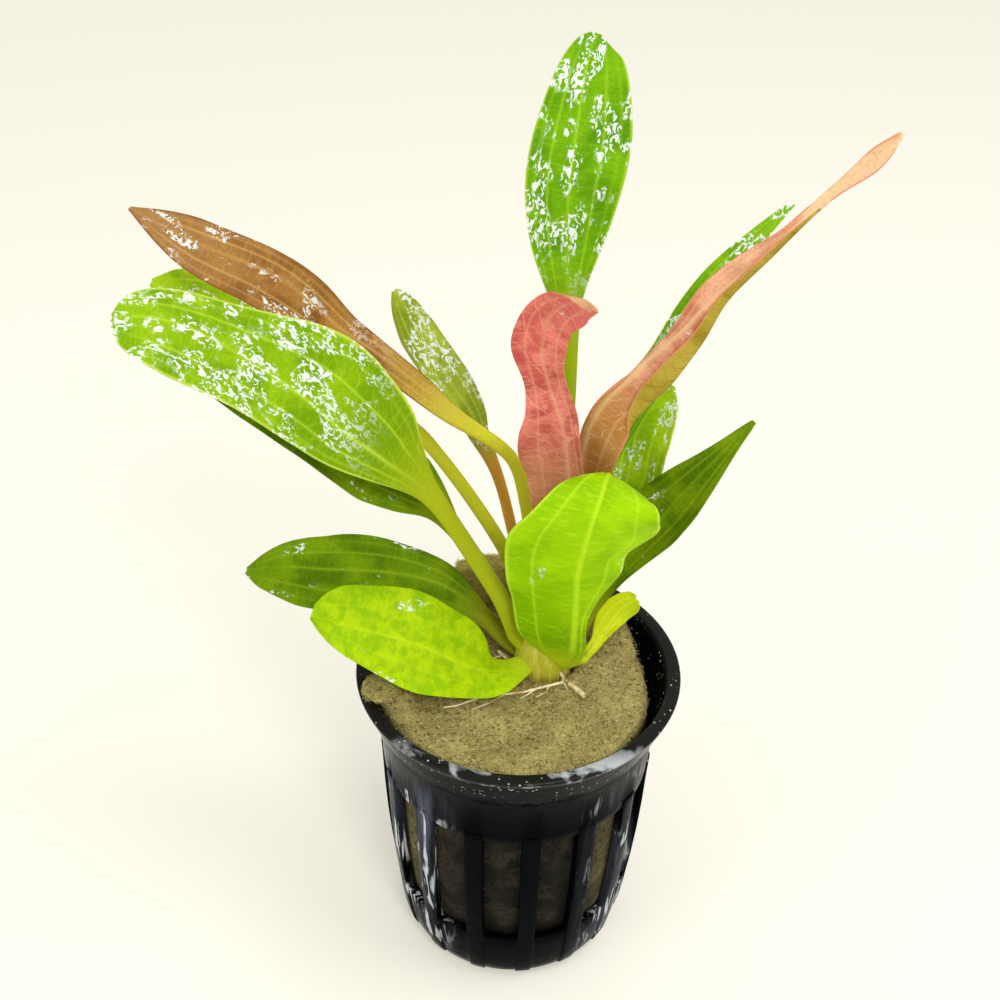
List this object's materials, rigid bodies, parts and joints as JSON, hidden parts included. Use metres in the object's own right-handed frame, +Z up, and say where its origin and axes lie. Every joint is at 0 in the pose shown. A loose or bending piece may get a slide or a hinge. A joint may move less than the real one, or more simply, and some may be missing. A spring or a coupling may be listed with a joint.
{
  "type": "potted aquarium plant",
  "caption": "Potted echinodorus: a rosette of green, red and brown leaves in a black net pot of rock wool.",
  "frame": {"origin": "centre of the pot's base, on the surface it stands on", "axes": "+Z up through the pot's axis, +X to the viewer's right, +Y away from the viewer"},
  "size_m": [0.1079, 0.0587, 0.1573],
  "materials": {
    "black_plastic": "gloss",
    "mineral_wool": "matte",
    "crown_tissue": "satin",
    "green_leaf": "satin",
    "lime_leaf": "satin",
    "dark_leaf": "satin",
    "red_leaf": "satin",
    "brown_leaf": "satin",
    "root": "satin"
  },
  "bodies": {
    "root": {"net_pot": "black_plastic", "rock_wool": "mineral_wool", "crown": "crown_tissue", "leaf_tall_back": "green_leaf", "leaf_red_centre": "red_leaf", "leaf_red_twisted": "red_leaf", "leaf_green_behind_red": "green_leaf", "leaf_short_behind": "green_leaf", "leaf_dark_right": "dark_leaf", "leaf_front": "lime_leaf", "leaf_low_left": "lime_leaf", "leaf_dark_left": "dark_leaf", "leaf_broad_left": "lime_leaf", "leaf_upper_left": "green_leaf", "leaf_under_left": "dark_leaf", "leaf_brown": "brown_leaf", "leaf_narrow": "dark_leaf", "leaf_yellow": "lime_leaf", "root_main": "root", "root_white": "root", "root_left": "root"}
  },
  "joints": []
}
